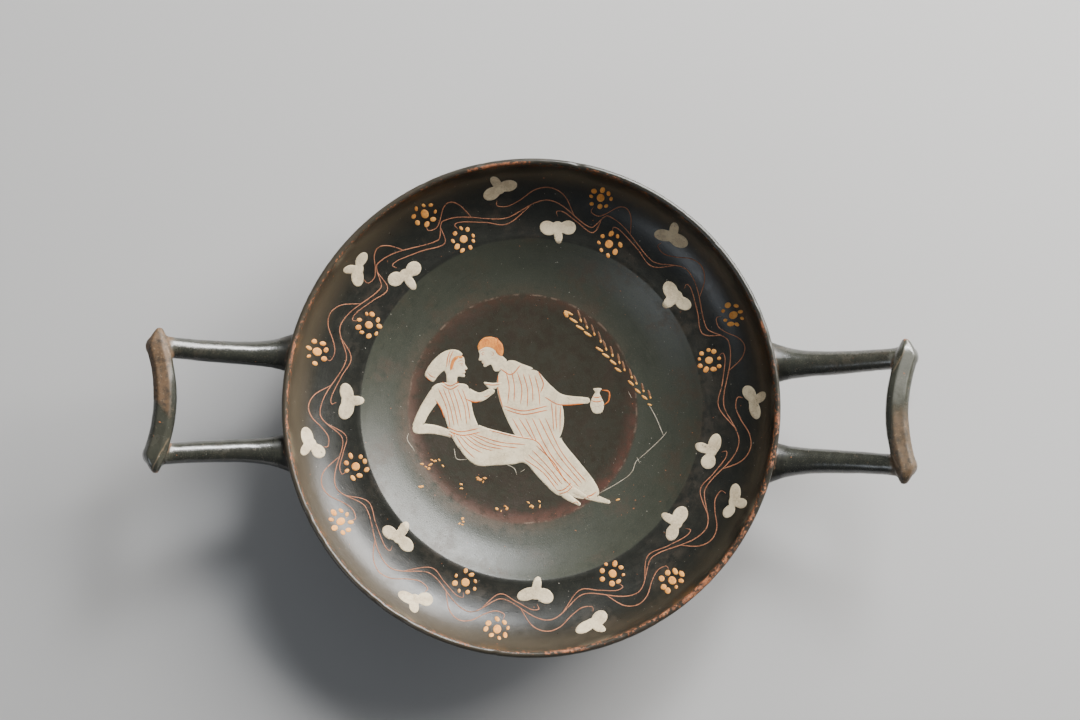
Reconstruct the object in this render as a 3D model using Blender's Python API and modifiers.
"""A Greek drinking cup (kylix) of the low, stemless kind, thrown and fired in one piece.

The bowl is turned: a flat floor, a concave wall, an inner ridge and a broad offset lip. It stands on a
ring foot. Two squared handles spring from the lip: each has two round arms and a cross bar that bows in
at its middle and runs out into a pointed ear past each arm.

Frame: metres, +Z up. The origin is the middle of the foot ring, on the table. The handles lie along X.
"""
import math

import bmesh
import bpy

# ---------------------------------------------------------------- driving dimensions, in metres
RIM_RADIUS = 0.120
RIM_HEIGHT = 0.056
RIM_THICKNESS = 0.003
WALL_THICKNESS = 0.0045

# Inside of the bowl: a nearly flat floor that dishes up towards its edge, a concave wall, a sharp ridge.
FLOOR_RADIUS = 0.055
FLOOR_HEIGHT = 0.0165
FLOOR_DISH = 0.0025
RIDGE_RADIUS = 0.0833
RIDGE_SLOPE = math.radians(35)
RIDGE_WIDTH = 0.0006

# Ring foot, with a shallow vault under the floor and a small turner's nipple at its centre.
FOOT_RADIUS = 0.057
FOOT_HEIGHT = 0.0125
FOOT_BAND = 0.003
STAND_OUTER = 0.0543
STAND_INNER = 0.0495
VAULT_RADIUS = 0.043
VAULT_HEIGHT = 0.0115
NIPPLE_RADIUS = 0.009
NIPPLE_DROP = 0.0018

# Handles. The arms spread a little on their way out, and the bar bows in between its two corners.
ARM_RADIUS = 0.0049
ARM_ROOT_RADIUS = 0.0080
ARM_INNER_X = 0.108
ARM_ROOT_Y = 0.0240
ARM_END_Y = 0.0260
ARM_ROOT_Z = 0.0440
BAR_Z = 0.0700
BAR_MIDDLE_X = 0.1745
BAR_CORNER_X = 0.1790
BAR_RADIUS = 0.0052
BAR_CORNER_RADIUS = 0.0064
EAR_TIP_Y = 0.0352
EAR_TIP_RADIUS = 0.0008

# Fineness of the solids.
TURNING_STEPS = 72
TUBE_SIDES = 14
MERGE_DISTANCE = 0.00005

# Worked out from the dimensions above.
WALL_START_SLOPE = math.atan(3 * FLOOR_DISH / FLOOR_RADIUS)
WALL_CURVE = (RIDGE_RADIUS - FLOOR_RADIUS) / (math.sin(RIDGE_SLOPE) - math.sin(WALL_START_SLOPE))
WALL_CENTRE_R = FLOOR_RADIUS - WALL_CURVE * math.sin(WALL_START_SLOPE)
WALL_CENTRE_Z = FLOOR_HEIGHT + FLOOR_DISH + WALL_CURVE * math.cos(WALL_START_SLOPE)
RIDGE_HEIGHT = WALL_CENTRE_Z - WALL_CURVE * math.cos(RIDGE_SLOPE)
RIM_BASE = RIM_HEIGHT - RIM_THICKNESS / 2

GLOSS_COLOUR = (0.020, 0.020, 0.016, 1.0)
GLOSS_ROUGHNESS = 0.32


# ---------------------------------------------------------------- profiles, as (radius, height) points
def sweep(start, end, count):
    """count values from start to end, both included."""
    return [start + (end - start) * i / (count - 1) for i in range(count)]


def floor_line(count):
    """The floor of the bowl, from the axis to the foot of the concave wall."""
    return [(r, FLOOR_HEIGHT + FLOOR_DISH * (r / FLOOR_RADIUS) ** 3) for r in sweep(0, FLOOR_RADIUS, count)]


def wall_arc(depth, start, end, count):
    """The concave wall, depth below its inner face, between two slopes."""
    reach = WALL_CURVE + depth
    return [(WALL_CENTRE_R + reach * math.sin(a), WALL_CENTRE_Z - reach * math.cos(a))
            for a in sweep(start, end, count)]


def lip_ends(depth):
    """Start and end of the lip's curve, depth below its inner face."""
    share = depth / WALL_THICKNESS
    start = (RIDGE_RADIUS + RIDGE_WIDTH + 0.6 * depth, RIDGE_HEIGHT + RIDGE_WIDTH / 2 - depth)
    return start, (RIM_RADIUS - RIM_THICKNESS * (1 - share), RIM_BASE)


def lip_arc(depth, start, end, count):
    """A quarter ellipse that leaves the ridge level, at 0 degrees, and reaches the rim upright, at 90."""
    (low_r, low_z), (high_r, high_z) = lip_ends(depth)
    return [(low_r + (high_r - low_r) * math.sin(a), low_z + (high_z - low_z) * (1 - math.cos(a)))
            for a in sweep(math.radians(start), math.radians(end), count)]


def inner_profile():
    """Inside of the cup, from the middle of the floor out to the rim."""
    wall = wall_arc(0, WALL_START_SLOPE, RIDGE_SLOPE, 7)
    return floor_line(5)[:-1] + wall + lip_arc(0, 0, 90, 10)


def rim_round():
    """The rounded top of the rim, from its inner side over the crest to its outer side."""
    half = RIM_THICKNESS / 2
    return [(RIM_RADIUS - half - half * math.cos(a), RIM_BASE + half * math.sin(a))
            for a in sweep(math.radians(30), math.radians(150), 5)]


def outer_profile():
    """Outside of the bowl, from the rim down to the top of the foot."""
    lip = lip_arc(WALL_THICKNESS, 90, 4, 9)
    wall = wall_arc(WALL_THICKNESS, RIDGE_SLOPE - math.radians(2), WALL_START_SLOPE + math.radians(2), 5)
    return lip + wall


def foot_profile():
    """The ring foot: a groove under the bowl, a round band, the standing face, the vault and the nipple."""
    band_r, band_z = FOOT_RADIUS - FOOT_BAND, FOOT_HEIGHT / 2
    band = [(band_r + FOOT_BAND * math.cos(a), band_z + (band_z - 0.0006) * math.sin(a))
            for a in sweep(math.radians(80), math.radians(-70), 6)]
    stand = [(STAND_OUTER, 0.0), (STAND_INNER, 0.0)]
    vault = [(VAULT_RADIUS + (STAND_INNER - 0.0005 - VAULT_RADIUS) * math.cos(a), VAULT_HEIGHT * math.sin(a))
             for a in sweep(math.radians(4), math.radians(90), 4)]
    nipple = [(NIPPLE_RADIUS, VAULT_HEIGHT), (NIPPLE_RADIUS / 3, VAULT_HEIGHT - 0.7 * NIPPLE_DROP),
              (0.0, VAULT_HEIGHT - NIPPLE_DROP)]
    return [(band_r - 0.0010, FOOT_HEIGHT)] + band + stand + vault + nipple


def cup_profile():
    """The section of the whole cup without its handles, down its outer side last."""
    return inner_profile() + rim_round() + outer_profile() + foot_profile()


def core_profile():
    """A plug that fills the cup out to the middle of the lip's clay. It trims the roots of the arms."""
    lip = lip_arc(WALL_THICKNESS / 2, 90, 0, 12)
    top = RIM_HEIGHT + 0.010
    return [(0.0, top), (lip[0][0], top)] + lip + [(0.0, lip[-1][1])]


# ---------------------------------------------------------------- making objects
def clear_scene():
    for obj in list(bpy.data.objects):
        bpy.data.objects.remove(obj, do_unlink=True)


def new_collection(name):
    collection = bpy.data.collections.new(name)
    bpy.context.scene.collection.children.link(collection)
    return collection


def turned(name, profile, collection):
    """A solid of revolution about Z from a profile that starts and ends on the axis."""
    mesh = bpy.data.meshes.new(name)
    mesh.from_pydata([(r, 0.0, z) for r, z in profile], [(i, i + 1) for i in range(len(profile) - 1)], [])
    obj = bpy.data.objects.new(name, mesh)
    collection.objects.link(obj)
    screw = obj.modifiers.new("turning", "SCREW")
    screw.axis = "Z"
    screw.steps = TURNING_STEPS
    screw.render_steps = TURNING_STEPS
    screw.use_merge_vertices = True
    screw.merge_threshold = MERGE_DISTANCE
    screw.use_normal_calculate = True
    return obj


def tube(name, stations, collection):
    """A closed round bar through stations of (x, y, z, radius)."""
    curve = bpy.data.curves.new(name, "CURVE")
    curve.dimensions = "3D"
    curve.bevel_depth = 1.0
    curve.bevel_resolution = (TUBE_SIDES - 4) // 2
    curve.use_fill_caps = True
    spline = curve.splines.new("POLY")
    spline.points.add(len(stations) - 1)
    for point, (x, y, z, radius) in zip(spline.points, stations):
        point.co = (x, y, z, 1.0)
        point.radius = radius
    guide = bpy.data.objects.new(name + "_curve", curve)
    collection.objects.link(guide)
    mesh = bpy.data.meshes.new_from_object(guide.evaluated_get(bpy.context.evaluated_depsgraph_get()))
    obj = bpy.data.objects.new(name, mesh)
    obj.matrix_world = guide.matrix_world
    collection.objects.link(obj)
    bpy.data.objects.remove(guide, do_unlink=True)
    welded = bmesh.new()
    welded.from_mesh(mesh)
    bmesh.ops.remove_doubles(welded, verts=welded.verts, dist=MERGE_DISTANCE)
    bmesh.ops.recalc_face_normals(welded, faces=welded.faces)
    welded.to_mesh(mesh)
    welded.free()
    return obj


def helper(obj):
    """Marks an object that only shapes another one."""
    obj.hide_render = True
    obj.display_type = "WIRE"
    return obj


def boolean(obj, other, operation):
    """Joins or cuts obj with other."""
    step = obj.modifiers.new(f"{operation.lower()}_{other.name}", "BOOLEAN")
    step.operation = operation
    step.solver = "EXACT"
    step.object = other


# ---------------------------------------------------------------- handles
def arm_stations(side_x, side_y):
    """An arm: thick where it leaves the lip, then an even round bar that climbs to its corner."""
    stations = []
    for share in (0.0, 0.12, 0.17, 0.22, 0.29, 0.38, 0.52, 0.68, 0.84, 1.0):
        x = ARM_INNER_X + (BAR_CORNER_X - ARM_INNER_X) * share
        y = ARM_ROOT_Y + (ARM_END_Y - ARM_ROOT_Y) * share
        z = ARM_ROOT_Z + (BAR_Z - ARM_ROOT_Z) * share ** 1.4
        flare = math.exp(-(max(share - 0.08, 0.0) / 0.13) ** 1.4)
        radius = ARM_RADIUS + (ARM_ROOT_RADIUS - ARM_RADIUS) * flare
        stations.append((side_x * x, side_y * y, z, radius))
    return stations


def bar_radius(reach):
    """Radius of the cross bar: it swells towards its corner, then runs out to the tip of the ear."""
    if reach <= ARM_END_Y:
        return BAR_RADIUS + (BAR_CORNER_RADIUS - BAR_RADIUS) * (reach / ARM_END_Y) ** 6
    share = (reach - ARM_END_Y) / (EAR_TIP_Y - ARM_END_Y)
    return EAR_TIP_RADIUS + (BAR_CORNER_RADIUS - EAR_TIP_RADIUS) * (1 - share) ** 0.75


def bar_stations(side_x):
    """The cross bar, which bows in towards the cup at its middle."""
    reaches = [EAR_TIP_Y * share for share in (0.25, 0.48, 0.64, 0.75, 0.84, 0.92, 1.0)]
    stations = []
    for y in [-reach for reach in reversed(reaches)] + [0.0] + reaches:
        bow = min(1.0, (y / ARM_END_Y) ** 2)
        x = BAR_MIDDLE_X + (BAR_CORNER_X - BAR_MIDDLE_X) * bow
        stations.append((side_x * x, y, BAR_Z, bar_radius(abs(y))))
    return stations


def add_handle(cup, core, side_x, label, helpers):
    """Joins one squared handle, two arms and a bar, to the cup."""
    for side_y, place in ((1, "back"), (-1, "front")):
        arm = helper(tube(f"{label}_{place}_arm", arm_stations(side_x, side_y), helpers))
        boolean(arm, core, "DIFFERENCE")
        boolean(cup, arm, "UNION")
    bar = helper(tube(f"{label}_bar", bar_stations(side_x), helpers))
    boolean(cup, bar, "UNION")


# ---------------------------------------------------------------- the cup
def black_gloss():
    material = bpy.data.materials.new("black_gloss")
    material.use_nodes = True
    shader = material.node_tree.nodes["Principled BSDF"]
    shader.inputs["Base Color"].default_value = GLOSS_COLOUR
    shader.inputs["Roughness"].default_value = GLOSS_ROUGHNESS
    shader.inputs["Metallic"].default_value = 0.0
    return material


def main():
    clear_scene()
    parts = new_collection("kylix")
    helpers = new_collection("kylix_helpers")
    cup = turned("kylix_cup", cup_profile(), parts)
    cup.data.materials.append(black_gloss())
    core = helper(turned("lip_core", core_profile(), helpers))
    add_handle(cup, core, 1, "right", helpers)
    add_handle(cup, core, -1, "left", helpers)


main()
